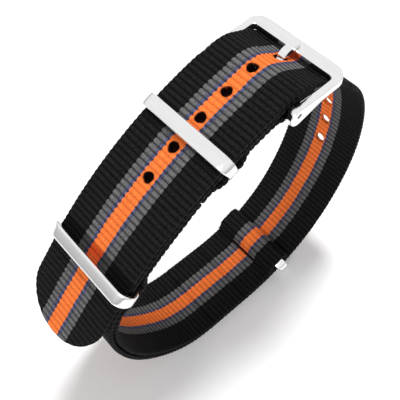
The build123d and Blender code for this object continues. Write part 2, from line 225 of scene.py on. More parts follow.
class WatchStrapWebbing(PropertyGroup):
    width: FloatProperty(
        name="Width", description="Width over the woven edges", default=18.4 * MM, unit="LENGTH"
    )
    buckle_width: FloatProperty(
        name="Width in the buckle", description="Width between the buckle's arms", default=17.9 * MM,
        unit="LENGTH",
    )
    thickness: FloatProperty(
        name="Thickness", description="Thickness over the ribs", default=1 * MM, unit="LENGTH"
    )
    rib_pitch: FloatProperty(
        name="Rib pitch", description="From one rib to the next", default=1.22 * MM, unit="LENGTH"
    )
    tail_pitch: FloatProperty(
        name="Rib pitch of the tail", description="From one rib to the next on the tail", default=1.08 * MM,
        unit="LENGTH",
    )
    rib_depth: FloatProperty(
        name="Rib depth", description="Depth of the groove between two ribs", default=0.2 * MM, unit="LENGTH"
    )
    rib_steps: IntProperty(
        name="Steps in a rib", description="Mesh rows that shape one rib", default=5, min=3, max=8
    )
    hole_radius: FloatProperty(
        name="Hole radius", description="Radius of a tongue hole", default=0.86 * MM, unit="LENGTH"
    )
    open_radius: FloatProperty(
        name="Open hole radius", description="Radius of a hole with nothing behind it", default=1.1 * MM,
        unit="LENGTH",
    )
    black: FloatVectorProperty(
        name="Black", description="Outer stripes", default=(0.0092, 0.0092, 0.0092), size=3, subtype="COLOR"
    )
    grey: FloatVectorProperty(
        name="Grey", description="Grey stripes", default=(0.112, 0.112, 0.112), size=3, subtype="COLOR"
    )
    dark_grey: FloatVectorProperty(
        name="Dark grey", description="Dark yarns in the stripes", default=(0.05, 0.05, 0.05), size=3,
        subtype="COLOR",
    )
    navy: FloatVectorProperty(
        name="Navy", description="Thin stripes", default=(0.072, 0.077, 0.135), size=3, subtype="COLOR"
    )
    orange: FloatVectorProperty(
        name="Orange", description="Middle stripe", default=(0.81, 0.172, 0.038), size=3, subtype="COLOR"
    )
    # Painted shadow: colour of the middle stripe where the outer bar and the second keeper shade it
    orange_in_shadow: FloatVectorProperty(
        name="Orange in shadow", description="Middle stripe where it rubs on the steel", default=(0.3, 0.015, 0.004),
        size=3, subtype="COLOR",
    )
    # Colour of the melted hole rims. It is also painted as shade in the holes, beneath the tail's holes and
    # across the flap's end
    burnt_and_shaded: FloatVectorProperty(
        name="Burnt and shaded", description="Rims of the holes", default=(0.009, 0.003, 0.003), size=3, subtype="COLOR"
    )


class WatchStrapSteel(PropertyGroup):
    polished: FloatVectorProperty(
        name="Polished", description="Polished steel", default=(0.83, 0.83, 0.83), size=3, subtype="COLOR"
    )
    brushed: FloatVectorProperty(
        name="Brushed", description="Brushed steel", default=(0.3, 0.3, 0.3), size=3, subtype="COLOR"
    )
    shine: FloatProperty(
        name="Polish roughness", description="Roughness of the polished faces", default=0.12, min=0, max=1
    )


class WatchStrapKeeper(PropertyGroup):
    depth: FloatProperty(
        name="Depth", description="Width of the strip that it is bent from", default=2.65 * MM, unit="LENGTH"
    )
    wall: FloatProperty(
        name="Wall", description="Thickness of the strip", default=1.12 * MM, unit="LENGTH"
    )
    half_inside: FloatProperty(
        name="Half inside", description="From its middle to the inside of its end", default=9.4 * MM,
        unit="LENGTH",
    )
    inner_height: FloatProperty(
        name="Inner height", description="Height of its opening", default=2.8 * MM, unit="LENGTH"
    )
    edge: FloatProperty(
        name="Edge", description="Width of its rounded edges", default=0.3 * MM, unit="LENGTH"
    )
    narrowing: FloatProperty(
        name="Narrowing", description="Share of its width lost at its ends", default=0.22, min=0, max=0.9
    )


class WatchStrapStage(PropertyGroup):
    floor: FloatVectorProperty(
        name="Floor", description="Colour of the floor and backdrop", default=(0.985, 0.985, 0.985), size=3,
        subtype="COLOR",
    )
    daylight: FloatProperty(
        name="Daylight", description="Strength of the light from all round", default=0.42, min=0
    )
    lens: FloatProperty(
        name="Lens", description="Focal length on a 36 mm wide sensor", default=52.19, unit="CAMERA"
    )


# Routes of the webbing in the XZ plane
def smooth_route(points, first_heading, last_heading, per_span=120):
    """Dense points of the smooth curve through points that leaves and arrives at the two headings."""
    p = np.array(points, dtype=float)
    h = np.linalg.norm(np.diff(p, axis=0), axis=1)
    n = len(p)
    a = np.zeros((n, n))
    b = np.zeros((n, 2))
    a[0, 0] = a[-1, -1] = 1
    b[0] = first_heading
    b[-1] = last_heading
    for i in range(1, n - 1):
        a[i, i - 1] = h[i]
        a[i, i] = 2 * (h[i - 1] + h[i])
        a[i, i + 1] = h[i - 1]
        b[i] = 3 * (h[i] * (p[i] - p[i - 1]) / h[i - 1] + h[i - 1] * (p[i + 1] - p[i]) / h[i])
    d = np.linalg.solve(a, b)
    out = []
    for i in range(n - 1):
        t = np.linspace(0, 1, per_span, endpoint=False)[:, None]
        out.append(
            (2 * t**3 - 3 * t**2 + 1) * p[i]
            + (t**3 - 2 * t**2 + t) * h[i] * d[i]
            + (-2 * t**3 + 3 * t**2) * p[i + 1]
            + (t**3 - t**2) * h[i] * d[i + 1]
        )
    out.append(p[-1:])
    return np.vstack(out)


class Route:
    """A curve in the XZ plane, read by the length along it and an offset to its outer side."""

    def __init__(self, dense):
        step = np.linalg.norm(np.diff(dense, axis=0), axis=1)
        self.dense = dense[np.concatenate(([True], step > NO_LENGTH))]
        step = np.linalg.norm(np.diff(self.dense, axis=0), axis=1)
        self.along = np.concatenate(([0.0], np.cumsum(step)))
        self.length = float(self.along[-1])
        ahead = np.gradient(self.dense, self.along, axis=0)
        self.turn = np.unwrap(np.arctan2(ahead[:, 1], ahead[:, 0]))

    def at(self, s, offset=0.0):
        s = np.asarray(s, dtype=float)
        x = np.interp(s, self.along, self.dense[:, 0])
        z = np.interp(s, self.along, self.dense[:, 1])
        a = np.interp(s, self.along, self.turn)
        return np.stack([x + np.sin(a) * offset, z - np.cos(a) * offset], axis=-1)

    def heading(self, s):
        a = float(np.interp(s, self.along, self.turn))
        return (math.cos(a), math.sin(a))

    def nearest(self, place, beyond=0.0):
        """Length along the route, past beyond, to its point nearest the place."""
        away = np.linalg.norm(self.dense - place, axis=1)
        away[self.along < beyond] = 1.0
        return float(self.along[int(np.argmin(away))])


def loop_points(shares):
    return [((x + MIDDLE_SHIFT) * LOOP_LENGTH, z * LOOP_HEIGHT) for x, z in shares]


def heading(degrees):
    return (math.cos(math.radians(degrees)), math.sin(math.radians(degrees)))


def half_circle(centre, radius, first_angle, count):
    angle = np.linspace(first_angle, first_angle + math.pi, count)
    return centre + radius * np.stack([np.cos(angle), np.sin(angle)], axis=-1)


def smooth_step(value):
    share = np.clip(value, 0, 1)
    return share * share * (3 - 2 * share)


class StrapLines:
    """The middle lines of both straps, and the places of their holes, marks and keepers."""

    def __init__(self, thickness):
        self.half = thickness / 2
        self.pitch = thickness + LAYER_GAP
        self.welded = thickness - WELD_BITE
        self.swollen = self.half + 2 * KEEPER_SEAT + KEEPER_STRIP + self.half
        self.fold = TUBE_RADIUS + TUBE_GAP + self.half
        self.fold_back_end = FIRST_KEEPER_AT + POCKET_HALF + POCKET_RAMP + FOLD_SPARE
        self.draw_loop()
        self.draw_long()
        self.place_holes()
        self.draw_short()
        self.place_keepers()

    def by_the_buckle(self, along, above):
        """The point along the buckle from the spring bar, and above its middle plane."""
        ahead = heading(BUCKLE_TILT)
        return (
            self.bar[0] + ahead[0] * along - ahead[1] * above,
            self.bar[1] + ahead[1] * along + ahead[0] * above,
        )

    def pocket(self, s, centre, closed):
        """Offset of an inner layer, closed except where it swells round the keeper at centre."""
        share = smooth_step((POCKET_HALF + POCKET_RAMP - np.abs(s - centre)) / POCKET_RAMP)
        return closed + (self.swollen - closed) * share

    def draw_loop(self):
        """Both sides of the loop, the flat between them, the way through the buckle and the tail's end."""
        flat_left = (FLAT_LEFT * LOOP_LENGTH, self.half)
        flat_right = (FLAT_RIGHT * LOOP_LENGTH, self.half)
        flat_points = 60
        flat_x = np.linspace(flat_left[0], flat_right[0], flat_points)
        self.flat = np.stack([flat_x, np.full(flat_points, self.half)], axis=-1)
        left_points = loop_points([START] + LEFT_SIDE) + [flat_left]
        self.left = Route(smooth_route(left_points, heading(BAR_HEADING), heading(0)))
        self.bar = self.left.at(0.0, -self.fold)
        self.second_at = SECOND_KEEPER_AT * self.left.length
        self.leave_at = TAIL_LEAVES * self.left.length
        under_bar = self.by_the_buckle(UNDER_BAR * BAR_REACH, -UNDER_BAR_DEPTH)
        climb = heading(CLIMB_HEADING + BUCKLE_TILT)
        right_points = [flat_right] + loop_points(RIGHT_SIDE) + [under_bar]
        self.right = Route(smooth_route(right_points, heading(0), climb))
        crossing = [self.by_the_buckle(along * BAR_REACH, above * BAR_REACH) for along, above in CROSSING]
        join_place = tuple(self.left.at(TAIL_JOINS, self.pitch))
        crossing_points = [under_bar] + crossing + [join_place]
        self.crossing = Route(smooth_route(crossing_points, climb, self.left.heading(TAIL_JOINS)))
        leave_place = tuple(self.left.at(self.leave_at, self.pitch))
        tail_points = [leave_place] + loop_points(TAIL_END)
        self.tail_end = Route(
            smooth_route(tail_points, self.left.heading(self.leave_at), heading(TIP_HEADING))
        )

    def draw_long(self):
        """The long strap, from the end of its fold round the spring bar to the tip of its tail."""
        s = np.linspace(self.fold_back_end, 0, 700)
        opening = 2 * self.fold - (2 * self.fold - self.welded) * smooth_step(s / FOLD_CLOSES)
        offset = np.where(s < FOLD_CLOSES, opening, self.pocket(s, FIRST_KEEPER_AT, self.welded))
        back = self.left.at(s, -offset)
        half_turn = half_circle(self.bar, self.fold, math.radians(BAR_HEADING - 270), 80)
        over = self.left.at(np.linspace(TAIL_JOINS, self.leave_at, 500), self.pitch)
        sides = [self.left.dense, self.flat, self.right.dense]
        tail = [self.crossing.dense, over, self.tail_end.dense]
        self.long = Route(np.vstack([back, half_turn, *sides, *tail]))
        self.turned = Route(np.vstack([back, half_turn])).length
        self.eye = (Route(back).length - EYE_MARGIN, self.turned + EYE_MARGIN)

    def place_holes(self):
        """Holes, the painted shade spots beneath those of the tail, and the painted shadow bands, along the
        long strap.
        """
        flat_length = (FLAT_RIGHT - FLAT_LEFT) * LOOP_LENGTH
        over_length = self.leave_at - TAIL_JOINS
        lengths = [self.left.length, flat_length, self.right.length, self.crossing.length, over_length]
        ends = np.cumsum(lengths)
        self.tail_from = float(self.turned + ends[2])
        self.holes = []
        for index in range(HOLE_COUNT):
            at = ends[2] + TONGUE_HOLE_AT + (index - TONGUE_HOLE) * HOLE_PITCH
            if at < ends[2]:
                place = self.right.at(at - ends[1])
            elif at < ends[3]:
                place = self.crossing.at(at - ends[2])
            elif at < ends[4]:
                place = self.left.at(at - ends[3] + TAIL_JOINS, self.pitch)
            else:
                place = self.tail_end.at(at - ends[4])
            self.holes.append(self.long.nearest(place, beyond=ends[1]) + HOLE_PULLS.get(index, 0.0))
        # Painted shade spots on the layer beneath the tail's holes
        self.shade_spots = [
            self.turned + self.left.nearest(self.long.at(centre)) for centre in self.holes[TONGUE_HOLE + 1:]
        ]
        second_keeper = self.turned + ends[3] + self.second_at - TAIL_JOINS
        # Painted shadows where the tail dives under the outer bar, and above the second keeper
        self.painted_shadows = [
            (self.tail_from + BAR_SHADOW[0], BAR_SHADOW[1]),
            (second_keeper + KEEPER_SHADOW[0], KEEPER_SHADOW[1]),
        ]

    def draw_short(self):
        """The short strap, from its weld to the long one's fold to the flap of its last fold."""
        low, high = 0.0, self.right.length / 2
        for _ in range(50):
            middle = (low + high) / 2
            low, high = (middle, high) if self.right.at(middle)[0] < LAST_KEEPER_X else (low, middle)
        self.last_at = low
        start = self.fold_back_end + LAYER_GAP
        s = np.linspace(start, self.left.length, 1400)
        parting = smooth_step((s - start - SHORT_WELD) / SHORT_RAMP)
        apart = self.welded + (self.pitch - self.welded) * parting
        offset = np.where(
            s < start + SHORT_WELD + SHORT_RAMP, apart, self.pocket(s, self.second_at, self.pitch)
        )
        down = self.left.at(s, -offset)
        inner_flat = self.flat + np.array([0, self.pitch])
        turn_at = self.last_at + LAST_TURN
        along = self.right.at(np.linspace(0, turn_at, 300), -self.pitch)
        radius = KEEPER_STRIP / 2 + KEEPER_SEAT + self.half
        self.strip_offset = self.pitch + self.half + KEEPER_SEAT + KEEPER_STRIP / 2
        ahead = self.right.heading(turn_at)
        centre = self.right.at(turn_at, -self.strip_offset)
        turn = half_circle(centre, radius, math.atan2(ahead[1], ahead[0]) - math.pi / 2, 60)
        flap_end = self.last_at - FLAP_REACH
        s = np.linspace(turn_at, flap_end, 300)
        closed = self.pitch + self.welded
        beyond = smooth_step((s - flap_end - FLAP_WELD) / FLAP_RAMP)
        flap = self.right.at(s, -(closed + (self.strip_offset + radius - closed) * beyond))
        self.short = Route(np.vstack([down, inner_flat, along, turn, flap]))

    def place_keepers(self):
        """Name, node, body, middle, heading and added length of each keeper."""
        over_strap = KEEPER_MIDDLE - (self.half + KEEPER_SEAT)
        in_last_fold = KEEPER_MIDDLE + KEEPER_STRIP / 2 - self.strip_offset
        self.keepers = []
        for name, node, body, route, at, offset, longer in (
            ("First_keeper", "upper_keeper", "first_keeper", self.left, FIRST_KEEPER_AT, over_strap, 0.0),
            ("Second_keeper", "lower_keeper", "second_keeper", self.left, self.second_at, over_strap, 0.0),
            (
                "Last_keeper", "end_keeper", "last_keeper", self.right, self.last_at, in_last_fold,
                LAST_KEEPER_LONGER,
            ),
        ):
            ahead = route.heading(at)
            turn = math.atan2(ahead[1], ahead[0])
            self.keepers.append((name, node, body, route.at(at, offset), turn, longer))


# Mesh helpers
def activate(obj):
    """Make the piece the only selected one, in object mode."""
    if bpy.context.object and bpy.context.object.mode != "OBJECT":
        bpy.ops.object.mode_set(mode="OBJECT")
    bpy.ops.object.select_all(action="DESELECT")
    obj.select_set(True)
    bpy.context.view_layer.objects.active = obj


def edit_points(mesh, chosen):
    """Go to edit mode on the active piece with only the chosen points selected."""
    bpy.context.tool_settings.mesh_select_mode = (True, False, False)
    bpy.ops.object.mode_set(mode="EDIT")
    bpy.ops.mesh.select_all(action="DESELECT")
    bpy.ops.object.mode_set(mode="OBJECT")
    mesh.vertices.foreach_set("select", chosen)
    bpy.ops.object.mode_set(mode="EDIT")


def face_outwards():
    """Turn all faces of the active piece outwards."""
    bpy.ops.object.mode_set(mode="EDIT")
    bpy.ops.mesh.select_all(action="SELECT")
    bpy.ops.mesh.normals_make_consistent(inside=False)
    bpy.ops.object.mode_set(mode="OBJECT")


def column_places(half_width):
    """Places of the mesh columns across the webbing, close together where the holes are."""
    plain = np.linspace(PLAIN_FROM, half_width - PLAIN_MARGIN, PLAIN_COLUMNS)
    side = np.concatenate([HOLE_COLUMNS, plain, half_width - EDGE_COLUMNS])
    return np.concatenate([-side[:0:-1], side])


def rib_count(route, cloth, tail_from=None):
    """Ribs counted from the start of the route to each of many places along it."""
    along = np.linspace(0, route.length, 6000)
    pitch = np.full(len(along), cloth.rib_pitch)
    if tail_from is not None:
        pitch += (cloth.tail_pitch - cloth.rib_pitch) * smooth_step((along - tail_from) / TAIL_PITCH_RAMP)
    density = 1 / pitch
    return along, np.concatenate(([0.0], np.cumsum((density[1:] + density[:-1]) / 2 * np.diff(along))))


def hole_shapes(centres, cloth):
    """Centre, half of its stretch, radius and rim darkening (melt and painted shade) of each hole: those
    before the tongue's are open.
    """
    shapes = []
    for index, centre in enumerate(centres):
        half_stretch = TONGUE_SLOT / 2 if index == TONGUE_HOLE else 0.0
        if index < TONGUE_HOLE:
            shapes.append((centre, half_stretch, cloth.open_radius, OPEN_BURN_SHADE))
        else:
            shapes.append((centre, half_stretch, cloth.hole_radius, 1.0))
    return shapes


def burn_and_shade_marks(u, v, holes, shade_spots):
    """How dark each point is painted: melted rims with painted shade round the holes, and painted shade on
    the layer beneath them.
    """
    burn_and_shade = np.zeros(len(u))
    for index, (centre, half_stretch, radius, strength) in enumerate(holes):
        du = u - centre
        away = np.hypot(du - np.clip(du, -half_stretch, half_stretch), v) - radius
        ragged = BURN_SHADE_RAGGED * np.cos(BURN_SHADE_LOBES * np.arctan2(v, du) + BURN_SHADE_TURN * index)
        burn_and_shade = np.maximum(burn_and_shade, strength * np.clip(1 - (away - ragged) / BURN_SHADE_RING, 0, 1))
    # Painted shade on the layer seen through the tail's holes
    for centre in shade_spots:
        away = np.hypot(u - centre, v) - SHADE_SPOT_RADIUS
        burn_and_shade = np.maximum(burn_and_shade, np.clip(1 - away / SHADE_SPOT_FADE, 0, 1))
    return burn_and_shade


def buckle_fit(p, v, cloth, bar):
    """How far each point draws in between the buckle's arms, and lifts where the tail climbs the frame."""
    inside = smooth_step((p[:, 0] - bar[0] + ARMS_BEFORE_BAR) / ARMS_FADE[0])
    inside *= smooth_step((ARMS_END_X - p[:, 0]) / ARMS_FADE[1])
    inside *= smooth_step((p[:, 1] - ARMS_LOW_Z) / ARMS_FADE[2])
    outer = np.clip((np.abs(v) - STIFF_MIDDLE) / (cloth.width / 2 - STIFF_MIDDLE), 0, 1)
    drawn_in = np.sign(v) * (cloth.width - cloth.buckle_width) / 2 * inside * outer
    climbing = np.exp(-(((p[:, 0] - CLIMB_X) / CLIMB_SPREAD) ** 2)) * (p[:, 1] > CLIMB_LOW_Z)
    return drawn_in, CLIMB_LIFT * climbing * outer**2


def weave_webbing(name, route, cloth, holes=(), eye=None, tip_length=0.0, tail_from=None, bar=None,
                  shade_spots=(), painted_shadows=(), end_shade=0.0):
    """A ribbed webbing along the route: its ribs, its woven edges, holes and, where asked, a rounded tip."""
    half_width = cloth.width / 2
    holes = hole_shapes(holes, cloth)
    grid, ribs = rib_count(route, cloth, tail_from)
    rows = int(round(ribs[-1] * cloth.rib_steps)) + 1
    s = np.interp(np.linspace(0, ribs[-1], rows), ribs, grid)
    across = column_places(half_width)
    columns = len(across)
    bpy.ops.object.select_all(action="DESELECT")
    bpy.ops.mesh.primitive_grid_add(
        x_subdivisions=columns - 1, y_subdivisions=rows - 1, size=1, location=(0, 0, 0)
    )
    obj = bpy.context.object
    obj.name = name
    mesh = obj.data
    mesh.name = name
    flat = np.empty(len(mesh.vertices) * 3)
    mesh.vertices.foreach_get("co", flat)
    flat = flat.reshape(-1, 3)
    u = s[np.rint((flat[:, 1] + 0.5) * (rows - 1)).astype(int)]
    v = across[np.rint((flat[:, 0] + 0.5) * (columns - 1)).astype(int)]
    if tip_length:
        share = np.clip((u - route.length + tip_length) / tip_length, 0, 1)
        v = v * np.sqrt(np.clip(1 - share**2, TIP_BLUNT, 1))
    # Points inside a hole are cut, and those beside it are pulled onto its rim
    cut = np.zeros(len(u), dtype=bool)
    rim = np.zeros(len(u), dtype=bool)
    for centre, half_stretch, radius, _ in holes:
        du = u - centre
        over = np.clip(du, -half_stretch, half_stretch)
        away = np.hypot(du - over, v)
        pull = (away >= radius * HOLE_CUT) & (away < radius * HOLE_RIM)
        scale = radius / np.maximum(away, NO_LENGTH)
        u = np.where(pull, centre + over + (du - over) * scale, u)
        v = np.where(pull, v * scale, v)
        cut |= away < radius * HOLE_CUT
        rim |= pull
    if eye:
        cut |= (u > eye[0]) & (u < eye[1]) & (np.abs(v) < EYE_HALF_WIDTH)
    layer = mesh.attributes.new("place", "FLOAT_VECTOR", "POINT")
    layer.data.foreach_set("vector", np.stack([u, v, rim.astype(float)], axis=-1).ravel())
    edit_points(mesh, cut)
    bpy.ops.mesh.delete(type="VERT")
    bpy.ops.object.mode_set(mode="OBJECT")
    solid = obj.modifiers.new("Thickness", "SOLIDIFY")
    solid.thickness = cloth.thickness
    solid.offset = 0
    solid.use_rim = True
    bpy.ops.object.modifier_apply(modifier=solid.name)
    # Both faces are laid along the route, with the ribs between them
    count = len(mesh.vertices)
    facts = np.empty(count * 3)
    mesh.attributes["place"].data.foreach_get("vector", facts)
    u, v, rim = facts.reshape(-1, 3).T
    side = np.where(np.arange(count) < count // 2, 1.0, -1.0)
    phase = np.interp(u, grid, ribs)
    ridge = np.sqrt(np.clip(1 - (2 * (phase % 1.0) - 1) ** 2, 0, 1))
    edge = np.clip((half_width - np.abs(v)) / EDGE_ROUND, 0, 1)
    half = cloth.thickness / 2 - cloth.rib_depth * (1 - ridge)
    half *= EDGE_THICKNESS + (1 - EDGE_THICKNESS) * np.sqrt(edge)
    half = np.where(rim > 0.5, half * RIM_THICKNESS, half)
    y = v * (1 - (1 - ridge) * SCALLOP * (np.abs(v) > half_width - SCALLOP_BAND))
    p = route.at(u)
    lift = 0.0
    if bar is not None:
        drawn_in, lift = buckle_fit(p, v, cloth, bar)
        y = y - drawn_in
    a = np.interp(u, route.along, route.turn)
    x = p[:, 0] + np.sin(a) * (lift + half * side)
    z = p[:, 1] - np.cos(a) * (lift + half * side)
    mesh.vertices.foreach_set("co", np.stack([x, y, z], axis=-1).ravel())
    uv = mesh.uv_layers.active or mesh.uv_layers.new(name="UVMap")
    uv.name = "Webbing"
    corner = np.empty(len(mesh.loops), dtype=np.int32)
    mesh.loops.foreach_get("vertex_index", corner)
    uv.data.foreach_set("uv", np.stack([phase[corner], v[corner]], axis=-1).ravel())
    # Darkening painted round the holes (melt and shade) and beneath the tail's holes (shade)
    burn_and_shade = burn_and_shade_marks(u, v, holes, shade_spots)
    # Painted shade across the end of the short strap's flap
    if end_shade:
        at_end = np.clip((u - route.length + end_shade) / END_SHADE_FADE, 0, 1)
        burn_and_shade = np.maximum(burn_and_shade, at_end * (np.abs(v) < END_SHADE_HALF_WIDTH))
    # Painted shadow beside the outer bar and above the second keeper
    painted_shadow = np.zeros(count)
    for centre, reach in painted_shadows:
        painted_shadow = np.maximum(painted_shadow, smooth_step((reach - np.abs(u - centre)) / SHADOW_FADE))
    for title, values in (("Burn and shade", burn_and_shade), ("Painted shadow", painted_shadow)):
        mark = mesh.attributes.new(title, "FLOAT", "POINT")
        mark.data.foreach_set("value", values)
    mesh.attributes.remove(mesh.attributes["place"])
    mesh.update()
    face_outwards()
    bpy.ops.object.shade_smooth()
    return obj


def bend_keeper(name, centre, turn, sizes, longer):
    """A flat strip bent into a loop with round ends; turn is the strap's heading there."""
    radius = (sizes.inner_height + sizes.wall) / 2
    run = sizes.half_inside + sizes.wall / 2 - radius + longer
    # 62 points leave none on the middle, so the two halves part into straight runs
    ring_points = 62
    bpy.ops.object.select_all(action="DESELECT")
    bpy.ops.mesh.primitive_circle_add(
        vertices=ring_points, radius=radius, location=(0, 0, 0), rotation=(0, math.pi / 2, 0)
    )
    obj = bpy.context.object
    obj.name = name
    bpy.ops.object.transform_apply(location=False, rotation=True, scale=False)
    mesh = obj.data
    mesh.name = name
    for side in (1, -1):
        edit_points(mesh, [vertex.co.y * side > 0 for vertex in mesh.vertices])
        bpy.ops.transform.translate(value=(0, side * run, 0))
        bpy.ops.object.mode_set(mode="OBJECT")
    bpy.ops.object.mode_set(mode="EDIT")
    bpy.ops.mesh.select_mode(type="EDGE")
    bpy.ops.mesh.select_all(action="SELECT")
    bpy.ops.transform.translate(value=(-sizes.depth / 2, 0, 0))
    bpy.ops.mesh.extrude_edges_move(TRANSFORM_OT_translate={"value": (sizes.depth, 0, 0)})
    bpy.ops.object.mode_set(mode="OBJECT")
    face_outwards()
    # The strip narrows round its two bends
    for vertex in mesh.vertices:
        share = min(max((abs(vertex.co.y) - run) / radius, 0), 1)
        vertex.co.x *= 1 - sizes.narrowing * (1 - math.sqrt(1 - share**3))
    wall = obj.modifiers.new("Wall", "SOLIDIFY")
    wall.thickness = sizes.wall
    wall.offset = 0
    edges = obj.modifiers.new("Edges", "BEVEL")
    edges.width = sizes.edge
    edges.segments = 2
    edges.limit_method = "ANGLE"
    edges.angle_limit = math.radians(50)
    smooth = obj.modifiers.new("Smooth", "SUBSURF")
    smooth.levels = smooth.render_levels = 2
    for modifier in (wall.name, edges.name, smooth.name):
        bpy.ops.object.modifier_apply(modifier=modifier)
    ahead = Vector((math.cos(turn), 0, math.sin(turn)))
    upward = Vector((-math.sin(turn), 0, math.cos(turn)))
    place = Matrix((ahead, (0, 1, 0), upward)).transposed().to_4x4()
    mesh.transform(Matrix.Translation((centre[0], 0, centre[1])) @ place)
    bpy.ops.object.shade_smooth()
    return obj


# Materials
def new_material(name):
    material = bpy.data.materials.new(name)
    material.use_nodes = True
    tree = material.node_tree
    return material, tree, tree.nodes["Principled BSDF"]


def wear(obj, material):
    obj.data.materials.clear()
    obj.data.materials.append(material)


def maths(tree, operation, *values, clamp=False):
    node = tree.nodes.new("ShaderNodeMath")
    node.operation = operation
    node.use_clamp = clamp
    for socket, value in zip(node.inputs, values):
        if isinstance(value, (int, float)):
            socket.default_value = value
        else:
            tree.links.new(value, socket)
    return node.outputs[0]


def product(tree, first, *others):
    """All the values multiplied."""
    for other in others:
        first = maths(tree, "MULTIPLY", first, other)
    return first


def between(tree, share, low, high):
    """Value that goes from low to high by share."""
    return maths(tree, "MULTIPLY_ADD", share, high - low, low)


def mixed(tree, share, first, second):
    """Colour that goes from the first to the second by share."""
    node = tree.nodes.new("ShaderNodeMix")
    node.data_type = "RGBA"
    tree.links.new(share, node.inputs["Factor"])
    for name, colour in (("A", first), ("B", second)):
        if isinstance(colour, tuple):
            node.inputs[name].default_value = (*colour, 1)
        else:
            tree.links.new(colour, node.inputs[name])
    return node.outputs["Result"]


def scaled(tree, colour, factor):
    """Colour made lighter or darker by the factor."""
    node = tree.nodes.new("ShaderNodeVectorMath")
    node.operation = "SCALE"
    if isinstance(colour, tuple):
        node.inputs[0].default_value = colour
    else:
        tree.links.new(colour, node.inputs[0])
    tree.links.new(factor, node.inputs["Scale"])
    return node.outputs[0]


def grain(tree, scale, detail, stretch=None):
    """Noise over the piece; stretch gives its scale along each axis."""
    place = tree.nodes.new("ShaderNodeTexCoord").outputs["Object"]
    if stretch:
        mapping = tree.nodes.new("ShaderNodeMapping")
        mapping.inputs["Scale"].default_value = stretch
        tree.links.new(place, mapping.inputs["Vector"])
        place = mapping.outputs[0]
    noise = tree.nodes.new("ShaderNodeTexNoise")
    noise.inputs["Scale"].default_value = scale
    noise.inputs["Detail"].default_value = detail
    tree.links.new(place, noise.inputs["Vector"])
    return noise.outputs["Fac"]


def split(tree, vector):
    """The three parts of a vector."""
    parts = tree.nodes.new("ShaderNodeSeparateXYZ")
    tree.links.new(vector, parts.inputs[0])
    return parts.outputs


def new_group(name, inputs, outputs):
    """Empty shader group with its sockets, and the two nodes that hold them."""
    tree = bpy.data.node_groups.new(name, "ShaderNodeTree")
    for title, value in inputs:
        tree.interface.new_socket(title, in_out="INPUT", socket_type="NodeSocketFloat").default_value = value
    for title in outputs:
        tree.interface.new_socket(title, in_out="OUTPUT", socket_type="NodeSocketFloat")
    return tree, tree.nodes.new("NodeGroupInput"), tree.nodes.new("NodeGroupOutput")


def weave_group():
    """Shader group: the ribs, the warp yarns over them and the flecks, read from the webbing's own map."""
    outputs = ("Rib", "Yarn", "Fleck", "Height", "Across", "Burn and shade", "Painted shadow", "Fuzz")
    inputs = (("Yarn width", YARN_WIDTH), ("Unevenness", 1.0))
    tree, inside, out = new_group("Ribbed weave", inputs, outputs)
    uv = tree.nodes.new("ShaderNodeUVMap")
    uv.uv_map = "Webbing"
    phase, across, _ = split(tree, uv.outputs[0])
    wave = maths(tree, "SINE", product(tree, phase, math.pi))
    rib = maths(tree, "POWER", maths(tree, "ABSOLUTE", wave), 0.8)
    # The yarns of every second rib lie half a yarn to the side
    number = maths(tree, "FLOOR", phase)
    shift = product(tree, maths(tree, "MODULO", number, 2.0), 0.5)
    yarn_phase = maths(tree, "ADD", maths(tree, "DIVIDE", across, inside.outputs["Yarn width"]), shift)
    yarn = maths(tree, "ABSOLUTE", maths(tree, "SINE", product(tree, yarn_phase, math.pi)))
    cell = tree.nodes.new("ShaderNodeCombineXYZ")
    tree.links.new(number, cell.inputs[0])
    tree.links.new(maths(tree, "FLOOR", yarn_phase), cell.inputs[1])
    white = tree.nodes.new("ShaderNodeTexWhiteNoise")
    white.noise_dimensions = "2D"
    tree.links.new(cell.outputs[0], white.inputs["Vector"])
    values = {
        "Rib": rib,
        "Yarn": yarn,
        "Fleck": product(tree, white.outputs["Value"], inside.outputs["Unevenness"]),
        "Height": product(tree, yarn, rib),
        "Across": maths(tree, "ABSOLUTE", across),
        "Fuzz": grain(tree, 3400, 2),
    }
    for title in ("Burn and shade", "Painted shadow"):
        mark = tree.nodes.new("ShaderNodeAttribute")
        mark.attribute_name = title
        values[title] = mark.outputs["Fac"]
    for title in outputs:
        tree.links.new(values[title], out.inputs[title])
    return tree


